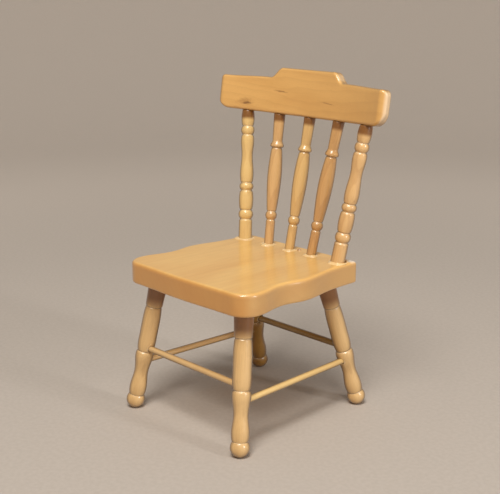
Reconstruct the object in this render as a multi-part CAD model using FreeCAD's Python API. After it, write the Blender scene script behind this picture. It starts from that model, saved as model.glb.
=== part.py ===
import FreeCAD, Part
import math
import os

# A dolls' house spindle-back side chair in turned wood, about 1:12.
# Millimetres. +Z is up, the chair faces -Y, and +X is the sitter's left.
# Fifteen pieces: seat, crest rail, two posts, three spindles, four legs and four stretchers,
# every one of them held by a round end in a blind socket.

V = FreeCAD.Vector

# ---------------------------------------------------------------- driving dimensions
SEAT_TOP = 39.8            # height of the sitting surface above the floor
SEAT_THICK = 5.5
SEAT_DEPTH = 42.0
SEAT_FRONT_WIDTH = 44.6    # across the front lobes
SEAT_WAIST_WIDTH = 41.6    # across the hollow behind the front lobes
SEAT_WAIST_AT = 0.37       # share of the depth from the front edge
SEAT_HIP_WIDTH = 43.5      # across the swelling at mid depth
SEAT_HIP_AT = 0.48
SEAT_REAR_WIDTH = 39.8
SEAT_FRONT_BOW = 0.5       # how far the front edge swells forward at the middle
SEAT_FRONT_CORNER = 5.0
SEAT_REAR_CORNER = 1.2
SEAT_TOP_ROUND = 0.9
SEAT_BOTTOM_ROUND = 0.35

FRONT_FOOT = (20.1, -20.3)   # where a front leg meets the floor, from the seat centre
REAR_FOOT = (18.4, 23.4)
FRONT_LEG_TOP = (15.9, -14.9)  # where a front leg meets the underside of the seat
REAR_LEG_TOP = (14.0, 15.2)
LEG_RADIUS = 2.27
FOOT_BALL_RADIUS = 2.4
FOOT_FLAT_RADIUS = 1.0     # worn flat on which each ball foot stands

CROSS_STRETCHER_Z = 16.4   # front and rear stretchers
SIDE_STRETCHER_Z = 12.7
STRETCHER_RADIUS = 0.85

BACK_BASE_Y = 16.4         # line of the five sockets in the seat
POST_BASE_X = 17.0
POST_TOP_X = 21.0
SPINDLE_BASE_X = 7.8       # outer spindles; the middle one stands at zero
SPINDLE_TOP_X = 10.5
POST_RADIUS = 1.95
SPINDLE_RADIUS = 1.92

CREST_BOTTOM = 74.0        # height of the lower edge, on the centre line of the rail
CREST_BASE_Y = 23.6        # rail centre line at the middle of the lower edge
CREST_LEAN = 8.6           # degrees the rail and the whole back lean rearwards
CREST_CURVE_RADIUS = 100.0  # plan curve; the ends come forward
CREST_HALF_LENGTH = 28.9
CREST_THICK = 3.1
CREST_SHOULDER = 9.5       # height of the rail just outside the raised centre
CREST_END_HEIGHT = 9.0     # height at the ends, so the shoulders fall slightly outwards
CREST_HEIGHT = 12.2        # height of the raised centre
CREST_RAISED_HALF = 8.8    # half length of the flat top of the raised centre
CREST_STEP_RUN = 4.1       # length taken by the step down to the shoulder
CREST_STEP_EASE = 0.45     # share of that length over which each end of the step eases in
CREST_ASIDE = 1.2          # the rail was glued on this far towards the sitter's right
CREST_TOP_CORNER = 1.7
CREST_LOWER_CORNER = 3.6
CREST_EDGE_ROUND = 0.7
CREST_FRONT_END_ROUND = 1.6  # generous round where the front face turns into an end
CREST_BACK_END_ROUND = 1.2

FIT_GAP = 0.04             # room for glue around every round end
END_GAP = 0.15             # room for glue beyond every round end
ROOT = 1.5                 # how far a tenon runs back inside its own turning
MOUTH = 1.0                # how far a socket's cutter stands clear of the face it enters
LEG_TENON = (1.5, 2.4)     # radius and length
TOP_TENON = (0.85, 3.2)
SEAT_SOCKET_DEPTH = 2.2
DOWEL_TO_AXIS = 0.35       # how near a stretcher's end comes to the axis of the leg

GROOVE_DEPTH = 0.22        # V cut left by the point of the tool between two turned members
ANKLE_SHARE = 0.86         # radius just above the ball foot, as a share of the leg above it

# Turned outlines, from the top of a turning to its foot. Each run is one smooth curve (two
# points make a line, three an arc, more a spline); a V groove parts one run from the next.
# Points are (share of the length, share of the greatest radius).
POST_RUNS = (
    ((0.000, 0.79), (0.060, 0.92), (0.118, 0.80)),
    ((0.130, 0.82), (0.155, 0.94), (0.182, 0.82)),
    ((0.200, 0.86), (0.235, 0.93), (0.337, 0.79), (0.500, 0.96), (0.557, 0.86)),
    ((0.571, 0.85), (0.592, 0.99), (0.614, 0.86)),
    ((0.634, 0.92), (0.700, 1.02), (0.768, 0.90)),
    ((0.783, 0.88), (0.811, 1.03), (0.840, 0.88)),
    ((0.857, 0.93), (1.000, 0.95)),
)
SPINDLE_RUNS = (
    ((0.000, 0.80), (0.195, 0.71)),
    ((0.195, 0.71), (0.220, 0.80), (0.238, 0.94), (0.250, 0.92)),
    ((0.268, 0.76), (0.300, 0.83), (0.470, 1.00), (0.670, 0.80), (0.738, 0.68)),
    ((0.750, 0.66), (0.775, 0.81), (0.800, 0.66)),
    ((0.818, 0.65), (1.000, 0.67)),
)
LEG_RUNS = (
    ((-0.060, 1.14), (0.205, 0.96)),
    ((0.220, 0.92), (0.245, 0.96), (0.460, 1.02), (0.545, 0.99), (0.578, 0.91)),
    ((0.594, 0.97), (0.612, 1.02), (0.680, 0.94), (0.765, 0.80), (0.885, 0.98), (0.952, 0.90)),
)


# ---------------------------------------------------------------- turning
def smooth_edge(points):
    """One edge through the points: a line, an arc or a spline."""
    if len(points) == 2:
        return Part.makeLine(points[0], points[1])
    if len(points) == 3:
        return Part.Arc(points[0], points[1], points[2]).toShape()
    curve = Part.BSplineCurve()
    curve.interpolate(points)
    return curve.toShape()


def turned_edges(runs, length, radius):
    """Edges of a turned outline in the XZ plane, running down from z = 0."""
    edges = []
    last = None
    for run in runs:
        points = [V(share_r * radius, 0, -share_l * length) for share_l, share_r in run]
        if last is not None and last.distanceToPoint(points[0]) > 1e-6:
            cut_to = min(last.x, points[0].x) - GROOVE_DEPTH
            groove = V(cut_to, 0, (last.z + points[0].z) / 2)
            edges.append(Part.makeLine(last, groove))
            edges.append(Part.makeLine(groove, points[0]))
        edges.append(smooth_edge(points))
        last = points[-1]
    return edges


def revolve(edges):
    """Solid made by spinning the outline about the Z axis; the ends are closed flat."""
    first = edges[0].valueAt(edges[0].FirstParameter)
    last = edges[-1].valueAt(edges[-1].LastParameter)
    closing = []
    if last.x > 1e-6:
        closing.append(Part.makeLine(last, V(0, 0, last.z)))
    closing.append(Part.makeLine(V(0, 0, last.z), V(0, 0, first.z)))
    closing.append(Part.makeLine(V(0, 0, first.z), first))
    outline = Part.Face(Part.Wire(edges + closing))
    return outline.revolve(V(0, 0, 0), V(0, 0, 1), 360)


def stand(shape, top, foot):
    """Place a turning made along -Z so that it runs from top towards foot."""
    turn = FreeCAD.Rotation(V(0, 0, -1), foot - top)
    shape.Placement = FreeCAD.Placement(top, turn)
    return shape


def rod(start, end, radius):
    return Part.makeCylinder(radius, (end - start).Length, start, end - start)


def beyond(start, end, extra):
    """The point reached by going on past end by extra."""
    return end + (end - start).normalize() * extra


def along(top, foot, z):
    """Point at height z on the line through top and foot."""
    share = (z - top.z) / (foot.z - top.z)
    return top + (foot - top) * share


def slab(origin, lean, upward):
    """Large block filling the space above (or below) a plane tipped back by lean degrees."""
    size = 200.0
    low = 0 if upward else -size
    block = Part.makeBox(size, size, size, V(-size / 2, -size / 2, low))
    block.rotate(V(0, 0, 0), V(1, 0, 0), -lean)
    block.translate(origin)
    return block


# ---------------------------------------------------------------- seat
def seat_side():
    """Points down the sitter's left side of the seat, front corner to rear corner."""
    front = -SEAT_DEPTH / 2
    rear = SEAT_DEPTH / 2
    waist = V(SEAT_WAIST_WIDTH / 2, front + SEAT_WAIST_AT * SEAT_DEPTH, 0)
    hip = V(SEAT_HIP_WIDTH / 2, front + SEAT_HIP_AT * SEAT_DEPTH, 0)
    lobe_end = V(SEAT_FRONT_WIDTH / 2, front + SEAT_FRONT_CORNER, 0)
    rear_end = V(SEAT_REAR_WIDTH / 2, rear - SEAT_REAR_CORNER, 0)
    into_waist = waist * 0.60 + lobe_end * 0.40 + V(-0.32, 0, 0)
    out_of_hip = hip * 0.64 + rear_end * 0.36 + V(-0.16, 0, 0)
    return [lobe_end, into_waist, waist, hip, out_of_hip, rear_end]


def mirrored(point):
    return V(-point.x, point.y, point.z)


def seat_corner(half_width, edge_y, radius):
    """Quarter round joining a side to the front (edge_y < 0) or rear edge."""
    inward = -math.copysign(radius, edge_y)
    bite = 1 - math.sqrt(0.5)
    return (
        V(half_width, edge_y + inward, 0),
        V(half_width - bite * radius, edge_y + bite * inward, 0),
        V(half_width - radius, edge_y, 0),
    )


def seat_blank():
    back = SEAT_DEPTH / 2
    across = V(1, 0, 0)
    rearward = V(0, 1, 0)
    front_corner = seat_corner(SEAT_FRONT_WIDTH / 2, -back, SEAT_FRONT_CORNER)
    rear_corner = seat_corner(SEAT_REAR_WIDTH / 2, back, SEAT_REAR_CORNER)
    front = Part.BSplineCurve()
    front.interpolate(
        [mirrored(front_corner[2]), V(0, -back - SEAT_FRONT_BOW, 0), front_corner[2]],
        InitialTangent=across,
        FinalTangent=across,
    )
    edges = [front.toShape(), Part.makeLine(rear_corner[2], mirrored(rear_corner[2]))]
    for flip in (lambda p: p, mirrored):
        side = Part.BSplineCurve()
        side.interpolate(
            [flip(p) for p in seat_side()],
            InitialTangent=rearward,
            FinalTangent=rearward,
        )
        edges.append(side.toShape())
        for corner in (front_corner, rear_corner):
            edges.append(Part.Arc(*[flip(p) for p in corner]).toShape())
    outline = Part.Face(Part.Wire(Part.__sortEdges__(edges)))
    board = outline.extrude(V(0, 0, SEAT_THICK))
    board.translate(V(0, 0, SEAT_TOP - SEAT_THICK))
    return board


def edges_at(shape, height):
    """Edges of a board that lie wholly at one height."""
    return [
        e
        for e in shape.Edges
        if abs(e.BoundBox.ZMin - height) < 1e-3 and abs(e.BoundBox.ZMax - height) < 1e-3
    ]


def make_seat(sockets):
    board = seat_blank()
    board = board.makeFillet(SEAT_TOP_ROUND, edges_at(board, SEAT_TOP))
    board = board.makeFillet(SEAT_BOTTOM_ROUND, edges_at(board, SEAT_TOP - SEAT_THICK))
    return board.cut(sockets).Solids[0]


# ---------------------------------------------------------------- crest rail
def quarter_round(corner, leg_x, leg_z):
    """Arc that takes the corner off between two square legs of equal length."""
    bite = 1 - math.sqrt(0.5)
    start = corner + V(leg_x, 0, 0)
    end = corner + V(0, 0, leg_z)
    middle = corner + V(bite * leg_x, 0, bite * leg_z)
    return Part.Arc(start, middle, end).toShape()


def crest_elevation():
    """Front outline of the rail in the XZ plane, lower edge on z = 0."""
    half = CREST_HALF_LENGTH
    low = CREST_LOWER_CORNER
    high = CREST_TOP_CORNER
    step_in = CREST_RAISED_HALF
    step_out = CREST_RAISED_HALF + CREST_STEP_RUN
    pull = CREST_STEP_EASE * CREST_STEP_RUN
    step = Part.BezierCurve()
    step.setPoles(
        [
            V(step_out, 0, CREST_SHOULDER),
            V(step_out - pull, 0, CREST_SHOULDER),
            V(step_in + pull, 0, CREST_HEIGHT),
            V(step_in, 0, CREST_HEIGHT),
        ]
    )
    shoulder = Part.BSplineCurve()
    shoulder.interpolate(
        [V(half - high, 0, CREST_END_HEIGHT), V(step_out, 0, CREST_SHOULDER)],
        InitialTangent=V(-1, 0, 0),
        FinalTangent=V(-1, 0, 0),
    )
    side = [
        Part.makeLine(V(0, 0, 0), V(half - low, 0, 0)),
        quarter_round(V(half, 0, 0), -low, low),
        Part.makeLine(V(half, 0, low), V(half, 0, CREST_END_HEIGHT - high)),
        quarter_round(V(half, 0, CREST_END_HEIGHT), -high, -high),
        shoulder.toShape(),
        step.toShape(),
        Part.makeLine(V(step_in, 0, CREST_HEIGHT), V(0, 0, CREST_HEIGHT)),
    ]
    other = [e.mirror(V(0, 0, 0), V(1, 0, 0)) for e in side]
    return Part.Wire(Part.__sortEdges__(side + other))


def crest_plan():
    """Curved strip the rail is sawn from, seen from above, with its ends rounded over."""
    half = math.asin(CREST_HALF_LENGTH / CREST_CURVE_RADIUS)
    centre = V(0, -CREST_CURVE_RADIUS, 0)
    front = CREST_CURVE_RADIUS - CREST_THICK / 2
    back = CREST_CURVE_RADIUS + CREST_THICK / 2
    bite = 1 - math.sqrt(0.5)

    def on_arc(radius, angle):
        return centre + V(radius * math.sin(angle), radius * math.cos(angle), 0)

    edges = []
    faces = ((front, CREST_FRONT_END_ROUND, 1), (back, CREST_BACK_END_ROUND, -1))
    for radius, end_round, inward in faces:
        turn = end_round / radius
        points = (on_arc(radius, turn - half), on_arc(radius, 0), on_arc(radius, half - turn))
        edges.append(Part.Arc(*points).toShape())
        for side in (-1, 1):
            start = on_arc(radius, side * (half - turn))
            middle = on_arc(radius + inward * bite * end_round, side * (half - bite * turn))
            end = on_arc(radius + inward * end_round, side * half)
            edges.append(Part.Arc(start, middle, end).toShape())
    for side in (-1, 1):
        start = on_arc(front + CREST_FRONT_END_ROUND, side * half)
        end = on_arc(back - CREST_BACK_END_ROUND, side * half)
        edges.append(Part.makeLine(start, end))
    return Part.Wire(Part.__sortEdges__(edges))


def crest_frame(shape):
    """Carry a shape from the rail's own frame to its leaning place on the chair."""
    shape.rotate(V(0, 0, 0), V(1, 0, 0), -CREST_LEAN)
    shape.translate(V(0, CREST_BASE_Y, CREST_BOTTOM))
    return shape


def sharp_edges(shape):
    """Edges whose two faces meet at more than a slight angle."""
    found = []
    for edge in shape.Edges:
        middle = edge.valueAt((edge.FirstParameter + edge.LastParameter) / 2)
        normals = [
            face.normalAt(*face.Surface.parameter(middle))
            for face in shape.ancestorsOfType(edge, Part.Face)
        ]
        if len(normals) == 2 and normals[0].getAngle(normals[1]) > math.radians(20):
            found.append(edge)
    return found


def make_crest(sockets):
    front = Part.Face(crest_elevation())
    front.translate(V(0, -CREST_HALF_LENGTH, 0))
    front_block = front.extrude(V(0, 2 * CREST_HALF_LENGTH, 0))
    strip = Part.Face(crest_plan()).extrude(V(0, 0, 2 * CREST_HEIGHT))
    strip.translate(V(0, 0, -CREST_HEIGHT / 2))
    rail = strip.common(front_block).removeSplitter().Solids[0]
    rail = rail.makeFillet(CREST_EDGE_ROUND, sharp_edges(rail))
    slide = math.degrees(CREST_ASIDE / CREST_CURVE_RADIUS)
    rail.rotate(V(0, -CREST_CURVE_RADIUS, 0), V(0, 0, 1), slide)
    return crest_frame(rail).cut(sockets).Solids[0]


# ---------------------------------------------------------------- back turnings
def crest_point(x):
    """Point of the rail's lower centre line, x away from the middle."""
    back_off = CREST_CURVE_RADIUS - math.sqrt(CREST_CURVE_RADIUS**2 - x * x)
    drop = math.sin(math.radians(CREST_LEAN)) * back_off
    return V(
        x,
        CREST_BASE_Y - math.cos(math.radians(CREST_LEAN)) * back_off,
        CREST_BOTTOM + drop,
    )


def back_turning(base_x, top_x, runs, radius):
    """A post or spindle, and the sockets it needs in the seat and in the rail."""
    base = V(base_x, BACK_BASE_Y, SEAT_TOP)
    top = crest_point(top_x)
    length = (top - base).Length
    foot_radius = runs[-1][-1][1] * radius
    head_radius = runs[0][0][1] * radius
    tenon_radius, tenon_length = TOP_TENON

    def past_top(distance):
        return beyond(base, top, distance)

    def past_base(distance):
        return beyond(top, base, distance)

    body = stand(revolve(turned_edges(runs, length, radius)), top, base)
    body = body.fuse([rod(top, past_top(ROOT), head_radius)])
    body = body.cut(slab(V(0, CREST_BASE_Y, CREST_BOTTOM), CREST_LEAN, True))
    body = body.fuse(
        [
            rod(base, past_base(SEAT_SOCKET_DEPTH), foot_radius),
            rod(past_top(-ROOT), past_top(tenon_length), tenon_radius),
        ]
    )
    seat_socket = rod(
        past_base(-MOUTH), past_base(SEAT_SOCKET_DEPTH + END_GAP), foot_radius + FIT_GAP
    )
    rail_socket = rod(past_top(-MOUTH), past_top(tenon_length + END_GAP), tenon_radius + FIT_GAP)
    return body.removeSplitter().Solids[0], seat_socket, rail_socket


# ---------------------------------------------------------------- legs
def leg_line(top_xy, foot_xy, side):
    """Axis of a leg, from the underside of the seat to the centre of its ball foot."""
    ball_z = math.sqrt(FOOT_BALL_RADIUS**2 - FOOT_FLAT_RADIUS**2)
    top = V(side * top_xy[0], top_xy[1], SEAT_TOP - SEAT_THICK)
    foot = V(side * foot_xy[0], foot_xy[1], ball_z)
    return top, foot


def make_leg(top, foot, dowel_sockets):
    length = (foot - top).Length
    edges = turned_edges(LEG_RUNS, length, LEG_RADIUS)
    neck = edges[-1].valueAt(edges[-1].LastParameter)
    ankle = ANKLE_SHARE * neck.x
    ball_top = V(ankle, 0, -length + math.sqrt(FOOT_BALL_RADIUS**2 - ankle**2))
    bottom = V(0, 0, -length - FOOT_BALL_RADIUS)
    edges.append(Part.makeLine(neck, ball_top))
    edges.append(Part.Arc(ball_top, V(FOOT_BALL_RADIUS, 0, -length), bottom).toShape())
    body = stand(revolve(edges), top, foot)
    body = body.cut(slab(top, 0, True))
    body = body.cut(slab(V(0, 0, 0), 0, False))
    tenon_radius, tenon_length = LEG_TENON
    tenon = rod(beyond(foot, top, -ROOT), beyond(foot, top, tenon_length), tenon_radius)
    body = body.fuse([tenon]).removeSplitter()
    return body.cut(dowel_sockets).Solids[0]


def leg_socket(top, foot):
    tenon_radius, tenon_length = LEG_TENON
    return rod(
        beyond(foot, top, -MOUTH),
        beyond(foot, top, tenon_length + END_GAP),
        tenon_radius + FIT_GAP,
    )


# ---------------------------------------------------------------- stretchers
def make_stretcher(one, other):
    """Dowel between two leg axes, stopping short of each, and its two sockets."""
    start = beyond(other, one, -DOWEL_TO_AXIS)
    end = beyond(one, other, -DOWEL_TO_AXIS)
    dowel = rod(start, end, STRETCHER_RADIUS)
    middle = (one + other) / 2
    sockets = [
        rod(beyond(middle, tip, END_GAP), middle, STRETCHER_RADIUS + FIT_GAP)
        for tip in (start, end)
    ]
    return dowel, sockets


# ---------------------------------------------------------------- whole chair
def build_chair():
    lines = {}
    for side, name in ((1, "left"), (-1, "right")):
        lines["front_" + name] = leg_line(FRONT_LEG_TOP, FRONT_FOOT, side)
        lines["rear_" + name] = leg_line(REAR_LEG_TOP, REAR_FOOT, side)

    nodes = {}
    leg_holes = {corner: [] for corner in lines}
    pairs = (
        ("stretcher_front", "front_right", "front_left", CROSS_STRETCHER_Z),
        ("stretcher_rear", "rear_right", "rear_left", CROSS_STRETCHER_Z),
        ("stretcher_left", "front_left", "rear_left", SIDE_STRETCHER_Z),
        ("stretcher_right", "front_right", "rear_right", SIDE_STRETCHER_Z),
    )
    for node, one, other, height in pairs:
        ends = (along(*lines[one], height), along(*lines[other], height))
        nodes[node], sockets = make_stretcher(*ends)
        leg_holes[one].append(sockets[0])
        leg_holes[other].append(sockets[1])

    seat_holes = []
    for corner, (top, foot) in lines.items():
        nodes["leg_" + corner] = make_leg(top, foot, leg_holes[corner])
        seat_holes.append(leg_socket(top, foot))

    rail_holes = []
    turnings = (
        ("post_left", POST_BASE_X, POST_TOP_X, POST_RUNS, POST_RADIUS),
        ("post_right", -POST_BASE_X, -POST_TOP_X, POST_RUNS, POST_RADIUS),
        ("spindle_left", SPINDLE_BASE_X, SPINDLE_TOP_X, SPINDLE_RUNS, SPINDLE_RADIUS),
        ("spindle_middle", 0.0, 0.0, SPINDLE_RUNS, SPINDLE_RADIUS),
        ("spindle_right", -SPINDLE_BASE_X, -SPINDLE_TOP_X, SPINDLE_RUNS, SPINDLE_RADIUS),
    )
    for node, base_x, top_x, runs, radius in turnings:
        nodes[node], seat_hole, rail_hole = back_turning(base_x, top_x, runs, radius)
        seat_holes.append(seat_hole)
        rail_holes.append(rail_hole)

    nodes["seat"] = make_seat(seat_holes)
    nodes["crest_rail"] = make_crest(rail_holes)
    return nodes


def centre_on_floor(nodes):
    """Put the origin on the floor under the middle of the whole chair."""
    box = Part.makeCompound(list(nodes.values())).optimalBoundingBox(False)
    aside = V(-(box.XMin + box.XMax) / 2, -(box.YMin + box.YMax) / 2, 0)
    for shape in nodes.values():
        shape.translate(aside)


chair = build_chair()
centre_on_floor(chair)
os.makedirs("parts", exist_ok=True)
for node_name, node_shape in chair.items():
    node_shape.exportStep("parts/" + node_name + ".step")
    print(node_name, len(node_shape.Solids), "solid,", round(node_shape.Volume, 1), "mm3")
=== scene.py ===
import math

import bmesh
import bpy
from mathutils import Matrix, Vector, noise


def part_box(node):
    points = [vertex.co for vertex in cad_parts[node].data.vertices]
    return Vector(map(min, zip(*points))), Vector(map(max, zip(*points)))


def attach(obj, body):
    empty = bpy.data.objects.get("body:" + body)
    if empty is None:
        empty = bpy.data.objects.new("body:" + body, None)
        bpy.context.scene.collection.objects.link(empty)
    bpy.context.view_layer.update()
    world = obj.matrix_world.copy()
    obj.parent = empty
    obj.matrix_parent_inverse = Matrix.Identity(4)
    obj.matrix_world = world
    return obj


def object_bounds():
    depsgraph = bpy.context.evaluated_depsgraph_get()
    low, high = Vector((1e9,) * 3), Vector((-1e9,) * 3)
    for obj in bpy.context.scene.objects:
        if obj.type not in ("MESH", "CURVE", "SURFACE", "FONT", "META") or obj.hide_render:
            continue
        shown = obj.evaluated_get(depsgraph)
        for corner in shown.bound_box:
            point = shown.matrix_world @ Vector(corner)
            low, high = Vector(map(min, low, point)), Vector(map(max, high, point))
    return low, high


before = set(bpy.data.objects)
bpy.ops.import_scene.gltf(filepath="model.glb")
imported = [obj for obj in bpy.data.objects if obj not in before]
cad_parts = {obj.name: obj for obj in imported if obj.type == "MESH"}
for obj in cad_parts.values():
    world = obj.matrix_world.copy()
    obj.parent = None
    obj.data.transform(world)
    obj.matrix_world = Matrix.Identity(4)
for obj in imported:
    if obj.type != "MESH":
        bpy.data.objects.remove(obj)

# A dolls' house spindle-back chair in pale turned wood under clear lacquer.
# Metres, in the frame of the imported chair: +Z up, the chair faces -Y, +X is the sitter's left.

MM = 0.001
UP = Vector((0, 0, 1))
LEFT = Vector((1, 0, 0))
BACKWARDS = Vector((0, 1, 0))
cad_low, cad_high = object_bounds()
seat_low, seat_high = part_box("seat")
rail_low, rail_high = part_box("crest_rail")
chair_centre = (cad_low + cad_high) / 2
chair_centre.x = (seat_low.x + seat_high.x) / 2  # the rail sits a little to one side

LEGS = ("leg_front_left", "leg_front_right", "leg_rear_left", "leg_rear_right")
POSTS = ("post_left", "post_right")
SPINDLES = ("spindle_left", "spindle_middle", "spindle_right")
STRETCHERS = ("stretcher_front", "stretcher_rear", "stretcher_left", "stretcher_right")


# ---------------------------------------------------------------- measuring the frame
def points_of(node):
    return [v.co.copy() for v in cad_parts[node].data.vertices]


def middle_of(points):
    return sum(points, Vector()) / len(points)


def ends_of(node, towards, share=0.06):
    """Middles of the two end slices of a long piece, the lower one first along a unit vector."""
    points = points_of(node)
    first = min(p.dot(towards) for p in points)
    last = max(p.dot(towards) for p in points)
    slice_width = share * (last - first)
    low = [p for p in points if p.dot(towards) < first + slice_width]
    high = [p for p in points if p.dot(towards) > last - slice_width]
    return middle_of(low), middle_of(high)


def at_height(line, z):
    """Point at height z on a line given by two points."""
    low, high = line
    return low + (high - low) * ((z - low.z) / (high.z - low.z))


# ---------------------------------------------------------------- shader helpers
def srgb(red, green, blue):
    """Screen colour, 0 to 255, as the linear colour that a shader takes."""
    def linear(level):
        level = level / 255
        return level / 12.92 if level <= 0.04045 else ((level + 0.055) / 1.055) ** 2.4
    return (linear(red), linear(green), linear(blue), 1.0)


class Graph:
    """Short way to write a material's node tree."""

    def __init__(self, name):
        self.material = bpy.data.materials.new(name)
        self.material.use_nodes = True
        self.tree = self.material.node_tree
        self.tree.nodes.clear()

    def put(self, kind, inputs=None, **settings):
        made = self.tree.nodes.new("ShaderNode" + kind)
        for key, value in settings.items():
            setattr(made, key, value)
        for key, value in (inputs or {}).items():
            self.feed(made.inputs[key], value)
        return made

    def feed(self, socket, value):
        if isinstance(value, bpy.types.NodeSocket):
            self.tree.links.new(value, socket)
        else:
            socket.default_value = value

    def maths(self, operation, a, b=0.0):
        return self.put("Math", {0: a, 1: b}, operation=operation).outputs[0]

    def between(self, value, low, high, to_low=0.0, to_high=1.0):
        """The value moved from one range to another, eased and clamped."""
        ranges = {"Value": value, "From Min": low, "From Max": high}
        ranges.update({"To Min": to_low, "To Max": to_high})
        return self.put("MapRange", ranges, interpolation_type="SMOOTHSTEP").outputs[0]

    def vector(self, operation, a, b=(0, 0, 0)):
        made = self.put("VectorMath", {0: a, 1: b}, operation=operation)
        return made.outputs["Value" if operation == "DOT_PRODUCT" else "Vector"]

    def scaled(self, vector, by):
        return self.vector("MULTIPLY", vector, by)

    def noise(self, place, cells, detail, roughness=0.5):
        """Noise with this many cells per unit of place, one number for each direction."""
        values = {"Vector": self.scaled(place, cells), "Scale": 1.0}
        values.update({"Detail": detail, "Roughness": roughness})
        return self.put("TexNoise", values).outputs["Fac"]

    def mix(self, share, a, b):
        made = self.put("Mix", data_type="RGBA")
        self.feed(made.inputs[0], share)
        self.feed(made.inputs[6], a)
        self.feed(made.inputs[7], b)
        return made.outputs[2]


# ---------------------------------------------------------------- wood
def grain_space(g, origin, along, across):
    """Position in millimetres from origin, as (along the grain, across it, through it)."""
    along = along.normalized()
    through = along.cross(across).normalized()
    across = through.cross(along)
    place = g.put("TexCoord").outputs["Object"]
    offset = g.vector("SUBTRACT", place, tuple(origin))
    parts = {}
    for axis, unit in zip("XYZ", (along, across, through)):
        parts[axis] = g.vector("DOT_PRODUCT", offset, tuple(unit / MM))
    return g.put("CombineXYZ", parts).outputs[0]


# Noise cells per millimetre along the grain, across it and through it.
DRIFT = (0.025, 0.10, 0.10)
WOBBLE = (0.10, 0.5, 0.5)
FIBRE = (0.16, 5.5, 5.5)
FLECK = (0.55, 7.0, 7.0)
CLOUD = (0.035, 0.16, 0.16)
PATCH = (0.5, 0.5, 0.5)
RIPPLE = (0.25, 0.6, 0.6)
HAZE = (0.2, 0.9, 0.9)
RAGGED = (0.9, 3.0, 3.0)

HEART = (-26.0, 9.0)       # middle of the tree, across and through the grain, in millimetres
RING_SPACING = 1.9         # millimetres, like the two below
DRIFT_REACH = 6.0
WOBBLE_REACH = 1.1


def growth_rings(g, grain):
    """0 in the pale early wood, rising to 1 at the dark line that closes each ring."""
    drift = g.noise(grain, DRIFT, detail=2.0)
    wobble = g.noise(grain, WOBBLE, detail=2.0)
    flat = g.scaled(g.vector("SUBTRACT", grain, (0.0,) + HEART), (0.0, 1.0, 1.0))
    radius = g.put("VectorMath", {0: flat}, operation="LENGTH").outputs["Value"]
    radius = g.maths("ADD", radius, g.maths("MULTIPLY", drift, DRIFT_REACH))
    radius = g.maths("ADD", radius, g.maths("MULTIPLY", wobble, WOBBLE_REACH))
    phase = g.maths("FRACT", g.maths("DIVIDE", radius, RING_SPACING))
    rise = g.maths("POWER", phase, 2.2)
    fall = g.between(phase, 0.90, 1.0, 1.0, 0.0)
    return g.maths("MULTIPLY", rise, fall)


WOOD_ROUGHNESS = 0.36
COAT_WEIGHT = 0.85
COAT_ROUGHNESS = (0.14, 0.25)  # least and greatest
COAT_IOR = 1.5
LIMB_SHADE = 0.85                 # greatest shares of the tones below
SHOULDER_SHADE_SHARE = 0.96
SLOPE_TONE_SHARE = 0.50
WEAR_AND_SHEEN_SHARE = 0.65
GROOVE_SHARE = 0.80
WEAR_AND_SHEEN_REACH = 0.5 * MM      # width of the pale band along an edge: wear and painted highlight
GROOVE_REACH = 0.6 * MM    # width over which a hollow gets painted shade and grime
# Pale tone for worn edges with their painted highlight, and for dust in glaze.
PALE_TONE = (246, 222, 182)     # screen colours
SHADE = (92, 64, 38)
# Painted shade under the seat and under the rail.
SHOULDER_SHADE_TONE = (122, 72, 6)
# Painted shade and grime in hollows.
GRIME_AND_SHADE = (66, 40, 20)


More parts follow.
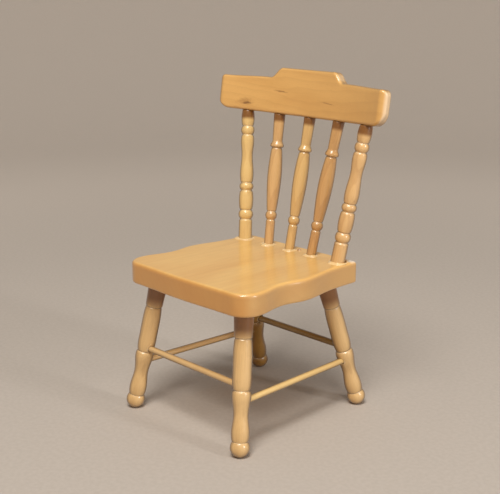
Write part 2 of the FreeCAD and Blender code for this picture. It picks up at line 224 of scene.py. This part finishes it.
def wood(name, origin, along, across, tones, figure=0.3, marks=(), limb_shade=LIMB_SHADE, slope_tones=(), shoulder_shade=None):
    """Pale wood under clear lacquer. Tones are (light, dark, deep) screen colours.

    figure is the strength of the grain, and limb_shade that of the painted shade where a surface is seen
    edge-on. Each entry of slope_tones gives faces another tone: (direction, from, to, screen colour),
    where the share grows as the slope of the surface along that direction goes from one value to the
    other; these are end grain, and painted shade or painted highlight on faces turned one way.
    shoulder_shade is the (place, reach) in millimetres along the grain of a shoulder under the seat or
    rail; just below it the wood gets painted shade.
    Each of the marks is (place, size, tilt in degrees, strength, screen colour), in millimetres.
    """
    g = Graph(name)
    light, dark, deep = [srgb(*tone) for tone in tones]
    grain = grain_space(g, origin, along, across)

    rings = growth_rings(g, grain)
    fibre = g.noise(grain, FIBRE, detail=3.0, roughness=0.6)
    fleck = g.noise(grain, FLECK, detail=1.0)
    cloud = g.noise(grain, CLOUD, detail=2.0)

    colour = g.mix(g.between(cloud, 0.30, 0.72, 0.0, 0.75), light, dark)
    colour = g.mix(g.maths("MULTIPLY", rings, figure), colour, deep)
    colour = g.mix(g.between(fibre, 0.42, 0.75, 0.0, 0.6 * figure), colour, deep)
    colour = g.mix(g.between(fleck, 0.69, 0.76, 0.0, figure), colour, deep)

    for place, size, tilt, strength, overlay_colour in marks:
        colour = g.mix(ellipsoid_mark(g, grain, place, size, tilt, strength), colour, srgb(*overlay_colour))

    # Faces turned one way get another tone: end grain, painted shade or a painted highlight.
    for towards, start, full, overlay_colour in slope_tones:
        normal = g.put("NewGeometry").outputs["Normal"]
        slope = g.maths("ABSOLUTE", g.vector("DOT_PRODUCT", normal, tuple(towards)))
        colour = g.mix(g.between(slope, start, full, 0.0, SLOPE_TONE_SHARE), colour, srgb(*overlay_colour))
    # Pale edges: worn lacquer and a painted highlight along the roundings.
    patchy = g.between(g.noise(grain, PATCH, detail=3.0), 0.38, 0.62, 0.5, 1.5)
    colour = g.mix(g.maths("MULTIPLY", worn_edge_and_sheen(g), patchy), colour, srgb(*PALE_TONE))
    # Painted shade where the surface is seen edge-on, standing in for dark limbs.
    if limb_shade:
        colour = g.mix(painted_limb_shade(g, limb_shade), colour, srgb(*SHADE))
    # Painted shade just below the shoulder, where the seat or rail keeps light off the wood.
    if shoulder_shade:
        place, reach = shoulder_shade
        lengthwise = g.put("SeparateXYZ", {0: grain}).outputs[0]
        shaded_share = g.between(lengthwise, place - reach, place - 0.5 * reach, 0.0, SHOULDER_SHADE_SHARE)
        colour = g.mix(shaded_share, colour, srgb(*SHOULDER_SHADE_TONE))
    # Painted shade and grime in grooves and tight corners.
    colour = g.mix(groove_shade_and_grime(g), colour, srgb(*GRIME_AND_SHADE))

    height = g.maths("ADD", g.maths("MULTIPLY", fibre, 0.6), g.maths("MULTIPLY", rings, 0.4))
    relief = g.put("Bump", {"Strength": 0.25, "Distance": 0.03 * MM, "Height": height})
    ripple = g.noise(grain, RIPPLE, detail=3.0)
    skin = g.put("Bump", {"Strength": 0.30, "Distance": 0.10 * MM, "Height": ripple})
    haze = g.noise(grain, HAZE, detail=4.0)
    rough = g.between(haze, 0.3, 0.7, *COAT_ROUGHNESS)

    body = g.put(
        "BsdfPrincipled",
        {
            "Base Color": colour,
            "Roughness": WOOD_ROUGHNESS,
            "Normal": relief.outputs[0],
            "Coat Weight": COAT_WEIGHT,
            "Coat Roughness": rough,
            "Coat Normal": skin.outputs[0],
            "Coat IOR": COAT_IOR,
        },
    )
    out = g.put("OutputMaterial")
    g.tree.links.new(body.outputs[0], out.inputs["Surface"])
    return g.material


def groove_shade_and_grime(g):
    """Share of the painted shade, with dirt and pooled lacquer, that darkens grooves and tight corners.
    """
    hollow = g.put("AmbientOcclusion", {"Distance": GROOVE_REACH}, samples=6, only_local=True)
    return g.between(hollow.outputs["AO"], 0.20, 0.78, GROOVE_SHARE, 0.0)


def worn_edge_and_sheen(g):
    """Share of the paler wood along edges, where the lacquer is rubbed thin and a painted highlight
    lights the rounding.
    """
    eased = g.put("Bevel", {"Radius": WEAR_AND_SHEEN_REACH}, samples=6).outputs[0]
    agreement = g.vector("DOT_PRODUCT", eased, g.put("NewGeometry").outputs["Normal"])
    return g.between(agreement, 0.93, 0.998, WEAR_AND_SHEEN_SHARE, 0.0)


def painted_limb_shade(g, strength):
    """Share of the darker look edge-on: painted shade standing in for dark limbs, and amber lacquer seen
    through more of its depth.
    """
    facing = g.put("LayerWeight", {"Blend": 0.5}).outputs["Facing"]
    return g.between(facing, 0.22, 0.82, 0.0, strength)


def ellipsoid_mark(g, grain, place, size, tilt, strength):
    """Share of a stain or painted highlight: an ellipsoid, long with the grain, with a soft ragged edge.
    """
    turn = g.put("VectorRotate", rotation_type="Z_AXIS")
    g.feed(turn.inputs["Vector"], g.vector("SUBTRACT", grain, place))
    g.feed(turn.inputs["Angle"], math.radians(-tilt))
    flat = g.scaled(turn.outputs[0], tuple(1.0 / reach for reach in size))
    reach = g.put("VectorMath", {0: flat}, operation="LENGTH").outputs["Value"]
    ragged = g.noise(grain, RAGGED, detail=2.0)
    reach = g.maths("ADD", reach, g.maths("MULTIPLY", g.maths("SUBTRACT", ragged, 0.5), 1.1))
    return g.between(reach, 0.15, 1.0, strength, 0.0)


# Light, dark and deep tones. The turnings came from different sticks, so they don't all match, but the
# two darkest are painted shade for the rear right leg and the rear stretcher.
HONEY = ((228, 190, 124), (216, 172, 104), (168, 116, 60))
STRAW = ((238, 204, 136), (226, 186, 114), (176, 126, 64))
PEACH = ((226, 184, 124), (210, 164, 104), (162, 108, 58))
AMBER = ((226, 176, 102), (212, 160, 88), (162, 106, 50))
RUSSET = ((214, 168, 106), (196, 146, 86), (150, 96, 50))
TAN = ((222, 184, 126), (206, 164, 104), (156, 112, 62))
BUTTER = ((232, 186, 110), (222, 168, 92), (174, 118, 56))
# Painted shade for the rear right leg.
REAR_LEG_SHADE_TONES = ((156, 114, 48), (140, 98, 36), (104, 70, 24))
# Painted shade for the rear stretcher under the seat.
REAR_STRETCHER_SHADE_TONES = ((148, 114, 46), (132, 100, 38), (100, 72, 26))
STICKS = {
    "post_right": STRAW,
    "spindle_right": PEACH,
    "spindle_middle": HONEY,
    "spindle_left": RUSSET,
    "post_left": PEACH,
    "stretcher_rear": REAR_STRETCHER_SHADE_TONES,
    "stretcher_left": STRAW,
    "leg_rear_right": REAR_LEG_SHADE_TONES,
}
# Reach of the painted shade below the rail on posts and spindles, and below the seat on legs.
NECK_SHADE_REACH = 2.4           # millimetres, like the one below
COLLAR_SHADE_REACH = 8.0
# Painted shade on the seat's upright sides.
SEAT_SIDE_SHADE = (178, 134, 88)
SEAT_END_GRAIN = (196, 128, 44)
# Painted highlight on both ends of the crest rail.
RAIL_END_HIGHLIGHT = (252, 234, 204)
# Painted highlight on the seat's rounded rear corner at the sitter's left.
CORNER_HIGHLIGHT = (252, 240, 222)
CORNER_HIGHLIGHT_INSET = (1.0, 4.0)  # millimetres in from the seat's rear edge and from its side
CORNER_HIGHLIGHT_SIZE = (2.0, 2.2, 1.3)
THROUGH = 100.0            # a stain that goes right through a board
RAIL_MARKS = (
    ((-19.1, -3.6, 0), (1.9, 0.55, THROUGH), 6.0, 0.85, (92, 58, 22)),
    ((-19.8, -3.2, 0), (3.6, 1.30, THROUGH), 4.0, 0.45, (150, 98, 44)),
    ((-8.4, 0.1, 0), (3.0, 0.28, THROUGH), -3.0, 0.65, (128, 82, 38)),
    ((8.2, -1.7, 0), (3.4, 0.22, THROUGH), -5.0, 0.50, (140, 92, 46)),
)


def paint(node, material):
    """Give a CAD node one material on every slot it has."""
    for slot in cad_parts[node].material_slots:
        slot.material = material


def paint_turnings():
    for node in LEGS + POSTS + SPINDLES:
        line = ends_of(node, UP)
        tones = STICKS.get(node, TAN)
        # Painted shade below the seat on the legs and below the rail on the posts and spindles.
        shoulder = at_height(line, seat_low.z if node in LEGS else rail_low.z)
        shoulder_shade = ((shoulder - line[0]).length / MM, COLLAR_SHADE_REACH if node in LEGS else NECK_SHADE_REACH)
        stick = wood(node + "_wood", line[0], line[1] - line[0], LEFT, tones, shoulder_shade=shoulder_shade)
        paint(node, stick)
    for node in STRETCHERS:
        low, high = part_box(node)
        lengthwise = LEFT if high.x - low.x > high.y - low.y else BACKWARDS
        line = ends_of(node, lengthwise)
        paint(node, wood(node + "_wood", line[0], line[1] - line[0], UP, STICKS.get(node, TAN)))


def paint_boards():
    seat_middle = (seat_low + seat_high) / 2
    corner = (seat_high - seat_middle) / MM
    # A painted highlight on the rounded rear corner at the sitter's left.
    highlight_place = (corner.y - CORNER_HIGHLIGHT_INSET[0], corner.x - CORNER_HIGHLIGHT_INSET[1], -corner.z)
    corner_highlight = (highlight_place, CORNER_HIGHLIGHT_SIZE, 0.0, 0.95, CORNER_HIGHLIGHT)
    # Painted shade on the seat's upright sides; its end grain is darker too.
    slope_tones = ((UP, 0.90, 0.30, SEAT_SIDE_SHADE), (BACKWARDS, 0.35, 0.80, SEAT_END_GRAIN))
    board = wood("seat_board", seat_middle, BACKWARDS, LEFT, BUTTER, 0.10, (corner_highlight,), 0, slope_tones)
    paint("seat", board)
    rail_middle = (rail_low + rail_high) / 2
    # Painted highlight on both ends of the rail.
    end_highlight = ((LEFT, 0.50, 0.90, RAIL_END_HIGHLIGHT),)
    board = wood("crest_board", rail_middle, LEFT, UP, AMBER, 0.14, RAIL_MARKS, 0.6, end_highlight)
    paint("crest_rail", board)


# ---------------------------------------------------------------- surface
WAVE_HEIGHT = 0.03 * MM
WAVE_LENGTH = 4 * MM


def soften(node, grid, rounds):
    """Even mesh with its sharp edges eased, as under lacquer, and the slight waves of hand sanding."""
    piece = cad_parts[node]
    even = piece.modifiers.new("even_mesh", "REMESH")
    even.mode = "VOXEL"
    even.voxel_size = grid
    even.use_smooth_shade = True
    ease = piece.modifiers.new("eased_edges", "SMOOTH")
    ease.factor = 0.5
    ease.iterations = rounds
    clouds = bpy.data.textures.new(node + "_waves", "CLOUDS")
    clouds.noise_scale = WAVE_LENGTH
    waves = piece.modifiers.new("sanding_waves", "DISPLACE")
    waves.texture = clouds
    waves.texture_coords = "LOCAL"
    waves.strength = WAVE_HEIGHT
    waves.mid_level = 0.5


# ---------------------------------------------------------------- glue and lacquer
def radius_at(node, line, z, band=0.6 * MM):
    """Radius of a turning about its own axis at height z."""
    axis = (line[1] - line[0]).normalized()
    reach = []
    for point in points_of(node):
        if abs(point.z - z) < band:
            offset = point - line[0]
            reach.append((offset - axis * offset.dot(axis)).length)
    return max(reach)


def new_piece(name, mesh, material):
    """Closed piece of glue or lacquer that rides on the chair."""
    data = bpy.data.meshes.new(name)
    bmesh.ops.recalc_face_normals(mesh, faces=mesh.faces)
    mesh.to_mesh(data)
    mesh.free()
    data.shade_smooth()
    data.materials.append(material)
    piece = bpy.data.objects.new(name, data)
    bpy.context.scene.collection.objects.link(piece)
    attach(piece, "root")


def joined_ring(mesh, rows):
    """Close a ring of equal rows of corners into a tube."""
    for i, row in enumerate(rows):
        following = rows[(i + 1) % len(rows)]
        for j in range(len(row)):
            k = (j + 1) % len(row)
            mesh.faces.new((row[j], following[j], following[k], row[k]))


COLLAR_SPREAD = 0.75 * MM
COLLAR_RISE = 0.42 * MM
COLLAR_SINK = 0.15 * MM    # how far a collar goes down into the seat


def glue_collar(name, centre, inner, seed, material):
    """Bead of glue squeezed out round the foot of a turning and lacquered over."""
    around, down = 72, 9
    mesh = bmesh.new()
    rows = []
    for i in range(around):
        turn = 2 * math.pi * i / around
        out = Vector((math.cos(turn), math.sin(turn), 0))
        swell = noise.noise(out * 1.4 + Vector((0, 0, seed)))
        forward = 0.5 * (1 - out.y)
        spread = COLLAR_SPREAD * (0.30 + 1.0 * forward + 0.9 * swell)
        rise = COLLAR_RISE * (0.45 + 0.6 * forward + 0.5 * swell)
        row = []
        for j in range(down):
            share = j / (down - 1)
            height = rise * (1 - share**2.4) * (1.0 - 0.25 * math.sin(math.pi * share))
            row.append(mesh.verts.new(centre + out * (inner + spread * share) + UP * height))
        row.append(mesh.verts.new(centre + out * (inner + spread) - UP * COLLAR_SINK))
        row.append(mesh.verts.new(centre + out * inner - UP * COLLAR_SINK))
        rows.append(row)
    joined_ring(mesh, rows)
    new_piece(name, mesh, material)


def blob(name, centre, size, material):
    """Rounded drop of lacquer, closed all round."""
    mesh = bmesh.new()
    bmesh.ops.create_icosphere(mesh, subdivisions=3, radius=1.0)
    for vert in mesh.verts:
        bump = 1 + 0.12 * noise.noise(vert.co * 1.7 + centre * 900)
        vert.co = centre + vert.co * bump * size
    new_piece(name, mesh, material)


DRIED_GLUE = (232, 194, 132)
DARK_LACQUER = (150, 98, 48)
DUST = (1500, 1500, 1500)  # noise cells per metre
DROP_ASIDE = Vector((2.1, 1.3, 0.0)) * MM  # from the middle of the middle spindle's foot
DROP_SIZE = Vector((0.55, 0.55, 0.35)) * MM
BURIED = 0.25 * MM         # how far a collar starts inside its turning


def glaze(name, tint):
    """Thick clear lacquer over dried glue: glossy, with faint bubbles and dust under the surface."""
    g = Graph(name)
    place = g.put("TexCoord").outputs["Object"]
    dust = g.noise(place, DUST, detail=3.0)
    colour = g.mix(g.between(dust, 0.35, 0.75, 0.0, 0.35), srgb(*tint), srgb(*PALE_TONE))
    ripple = g.put("Bump", {"Strength": 0.4, "Distance": 0.08 * MM, "Height": dust})
    rough = g.between(dust, 0.3, 0.7, 0.08, 0.24)
    body = g.put(
        "BsdfPrincipled",
        {
            "Base Color": colour,
            "Roughness": 0.4,
            "Coat Weight": 1.0,
            "Coat Roughness": rough,
            "Coat Normal": ripple.outputs[0],
            "Normal": ripple.outputs[0],
        },
    )
    out = g.put("OutputMaterial")
    g.tree.links.new(body.outputs[0], out.inputs["Surface"])
    return g.material


def make_glue():
    cream = glaze("dried_glue", DRIED_GLUE)
    brown = glaze("lacquer_drop", DARK_LACQUER)
    for seed, node in enumerate(POSTS + SPINDLES):
        line = ends_of(node, UP)
        foot = at_height(line, seat_high.z)
        inner = radius_at(node, line, seat_high.z) - BURIED
        glue_collar("glue_collar_" + node, foot, inner, 3.7 * seed, cream)
    foot = at_height(ends_of("spindle_middle", UP), seat_high.z)
    blob("lacquer_drop_top", foot + DROP_ASIDE, DROP_SIZE, brown)


# ---------------------------------------------------------------- stage, light, camera
def lathe(name, outline, steps=96):
    """Surface made by turning (radius, height) points about the Z axis."""
    mesh = bmesh.new()
    rings = []
    for radius, height in outline:
        if radius < 1e-9:
            rings.append([mesh.verts.new((0, 0, height))])
            continue
        ring = []
        for i in range(steps):
            turn = 2 * math.pi * i / steps
            ring.append(mesh.verts.new((radius * math.cos(turn), radius * math.sin(turn), height)))
        rings.append(ring)
    for low, high in zip(rings, rings[1:]):
        for i in range(steps):
            j = (i + 1) % steps
            if len(low) == 1:
                mesh.faces.new((low[0], high[i], high[j]))
            else:
                mesh.faces.new((low[i], high[i], high[j], low[j]))
    data = bpy.data.meshes.new(name)
    mesh.to_mesh(data)
    mesh.free()
    data.shade_smooth()
    piece = bpy.data.objects.new(name, data)
    bpy.context.scene.collection.objects.link(piece)
    return piece


FLOOR_REACH = 0.42
SWEEP_RADIUS = 0.35
SWEEP_STEPS = 12
WALL_HEIGHT = 0.85
PAPER_NEAR = (179, 169, 158)
PAPER_FAR = (197, 186, 174)
PAPER_FIBRE = (214, 205, 196)
PAPER_TOOTH = (900, 900, 900)  # noise cells per metre


def make_stage():
    """Pale floor that sweeps up into a wall all round, so that every view has the same backdrop."""
    # The rings on the level part keep its smooth shading flat.
    outline = [(0.0, 0.0), (0.1, 0.0), (0.25, 0.0), (FLOOR_REACH, 0.0)]
    for i in range(1, SWEEP_STEPS + 1):
        turn = math.radians(90 * i / SWEEP_STEPS)
        height = SWEEP_RADIUS * (1 - math.cos(turn))
        outline.append((FLOOR_REACH + SWEEP_RADIUS * math.sin(turn), height))
    outline.append((FLOOR_REACH + SWEEP_RADIUS, WALL_HEIGHT))
    floor = lathe("floor", outline)
    g = Graph("backdrop_paper")
    place = g.put("TexCoord").outputs["Object"]
    tooth = g.noise(place, PAPER_TOOTH, detail=2.0)
    away = g.put("VectorMath", {0: place}, operation="LENGTH").outputs["Value"]
    tone = g.mix(g.between(away, 0.15, 0.33), srgb(*PAPER_NEAR), srgb(*PAPER_FAR))
    tone = g.mix(g.between(tooth, 0.3, 0.7, 0.0, 0.12), tone, srgb(*PAPER_FIBRE))
    relief = g.put("Bump", {"Strength": 0.2, "Distance": 0.05 * MM, "Height": tooth})
    body = g.put("BsdfPrincipled", {"Base Color": tone, "Roughness": 0.75, "Normal": relief.outputs[0]})
    out = g.put("OutputMaterial")
    g.tree.links.new(body.outputs[0], out.inputs["Surface"])
    floor.data.materials.append(g.material)


def direction(azimuth, elevation):
    """Unit vector from the chair; azimuth 0 is in front of it and 90 is at the sitter's left."""
    a = math.radians(azimuth)
    e = math.radians(elevation)
    return Vector((math.sin(a) * math.cos(e), -math.cos(a) * math.cos(e), math.sin(e)))


def softbox(name, azimuth, elevation, distance, size, power, colour):
    data = bpy.data.lights.new(name, "AREA")
    data.shape = "RECTANGLE"
    data.size, data.size_y = size
    data.energy = power
    data.color = colour
    lamp = bpy.data.objects.new(name, data)
    towards = direction(azimuth, elevation)
    lamp.location = chair_centre + towards * distance
    lamp.rotation_mode = "QUATERNION"
    lamp.rotation_quaternion = towards.to_track_quat("Z", "Y")
    lamp.visible_camera = False
    bpy.context.scene.collection.objects.link(lamp)


LAMP_LIGHT = (1.0, 0.97, 0.93)
DAYLIGHT = (0.98, 0.98, 1.0)
SKYLIGHT = (0.86, 0.93, 1.0, 1.0)
SKY_STRENGTH = 0.26


def light_scene():
    softbox("overhead_box", 34, 62, distance=0.75, size=(0.30, 0.30), power=5.2, colour=LAMP_LIGHT)
    softbox("right_window", 100, 20, distance=0.62, size=(0.07, 0.18), power=1.1, colour=DAYLIGHT)
    world = bpy.data.worlds.new("room")
    world.use_nodes = True
    backdrop = world.node_tree.nodes["Background"]
    backdrop.inputs["Color"].default_value = SKYLIGHT
    backdrop.inputs["Strength"].default_value = SKY_STRENGTH
    bpy.context.scene.world = world


VIEW_AZIMUTH = 46.48
VIEW_ELEVATION = 14.77
VIEW_DISTANCE = 0.2573
VIEW_LENS = 73.0


def place_camera():
    data = bpy.data.cameras.new("camera")
    data.lens = VIEW_LENS
    data.sensor_width = 36.0
    data.clip_start = 0.01
    data.clip_end = 10.0
    camera = bpy.data.objects.new("camera", data)
    towards = direction(VIEW_AZIMUTH, VIEW_ELEVATION)
    camera.location = chair_centre + towards * VIEW_DISTANCE
    camera.rotation_mode = "QUATERNION"
    camera.rotation_quaternion = towards.to_track_quat("Z", "Y")
    bpy.context.scene.collection.objects.link(camera)
    bpy.context.scene.camera = camera
    bpy.context.scene.view_settings.view_transform = "Standard"


paint_turnings()
paint_boards()
for turned in LEGS + POSTS + SPINDLES:
    soften(turned, grid=0.1 * MM, rounds=3)
for dowel in STRETCHERS:
    soften(dowel, grid=0.1 * MM, rounds=2)
soften("crest_rail", grid=0.15 * MM, rounds=3)
soften("seat", grid=0.22 * MM, rounds=2)
make_glue()
make_stage()
light_scene()
place_camera()
